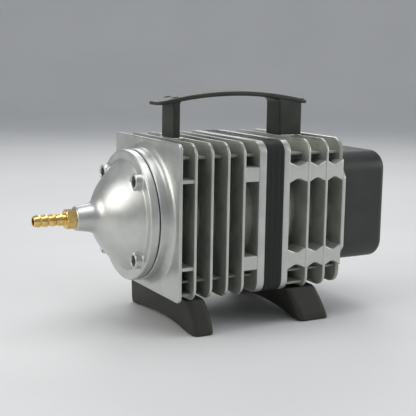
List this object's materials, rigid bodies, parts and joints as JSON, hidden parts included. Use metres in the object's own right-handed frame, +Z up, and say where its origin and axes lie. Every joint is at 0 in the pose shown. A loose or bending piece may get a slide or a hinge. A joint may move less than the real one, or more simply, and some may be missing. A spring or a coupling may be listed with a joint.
{
  "type": "air pump",
  "caption": "Finned electromagnetic piston air pump with a bell-shaped outlet cover, brass hose nozzle, arched carrying handle and moulded feet.",
  "frame": {"origin": "on the floor under the middle of the pump", "axes": "+X along the pump from the outlet nozzle to the rear cover, +Z up; the nozzle points to -X and the pump axis is 95 mm above the floor"},
  "size_m": [0.313, 0.128, 0.199],
  "materials": {
    "brass": "turned and bright",
    "cast_alloy": "satin die-cast",
    "machined_alloy": "machined",
    "steel": "bright zinc plated",
    "spring_steel": "spring steel",
    "lamination": "black varnished laminations",
    "magnet_iron": "ground",
    "bronze": "sintered bronze",
    "winding": "enamelled copper wire",
    "nylon": "moulded nylon",
    "wire_sleeve": "insulated wire",
    "gasket": "fibre and rubber gasket",
    "ring_plastic": "filled ring plastic",
    "foam": "open-cell foam",
    "cover_plastic": "moulded, finely textured",
    "handle_plastic": "moulded",
    "foot_rubber": "moulded rubber"
  },
  "bodies": {
    "pump": {"outlet_nozzle": "brass", "outlet_cover": "cast_alloy", "cover_screws": "steel", "cover_gasket": "gasket", "valve_plate": "machined_alloy", "head_screws": "steel", "head_gasket": "gasket", "discharge_spring": "spring_steel", "discharge_keeper": "machined_alloy", "discharge_stud": "steel", "front_housing": "cast_alloy", "cylinder_liner": "machined_alloy", "return_spring": "spring_steel", "guide_bush": "bronze", "stator_core": "lamination", "upper_bobbin": "nylon", "lower_bobbin": "nylon", "upper_coil": "winding", "lower_coil": "winding", "coil_leads": "wire_sleeve", "coil_links": "wire_sleeve", "terminal_block": "nylon", "front_gasket": "gasket", "rear_gasket": "gasket", "rear_housing": "cast_alloy", "tie_bolts": "steel", "tie_washers": "steel", "filter_retainer": "cover_plastic", "filter_pad": "foam", "rear_cover": "cover_plastic", "rear_cover_screws": "steel", "cord_grommet": "gasket", "handle": "handle_plastic", "handle_screws": "steel", "front_foot": "foot_rubber", "rear_foot": "foot_rubber", "foot_screws": "steel"},
    "piston_group": {"piston": "machined_alloy", "piston_rings": "ring_plastic", "intake_keeper": "machined_alloy", "intake_spring": "spring_steel", "piston_bolt": "steel", "piston_shaft": "steel", "armature": "magnet_iron", "spring_seat": "steel", "armature_nut": "steel"},
    "discharge_disc": {"discharge_valve": "spring_steel"},
    "intake_disc": {"intake_valve": "spring_steel"}
  },
  "joints": [
    {"name": "piston_slide", "type": "slide", "parent": "pump", "child": "piston_group", "axis": [1, 0, 0], "range_m": [-0.003, 0.007], "stiffness_N_per_m": 5600, "deforming": ["return_spring"]},
    {"name": "discharge_lift", "type": "slide", "parent": "pump", "child": "discharge_disc", "axis": [-1, 0, 0], "range_m": [0, 0.0014], "stiffness_N_per_m": 60, "springref_m": -0.0005, "deforming": ["discharge_spring"]},
    {"name": "intake_lift", "type": "slide", "parent": "piston_group", "child": "intake_disc", "axis": [-1, 0, 0], "range_m": [0, 0.0011], "stiffness_N_per_m": 60, "springref_m": -0.0005, "deforming": ["intake_spring"]}
  ]
}
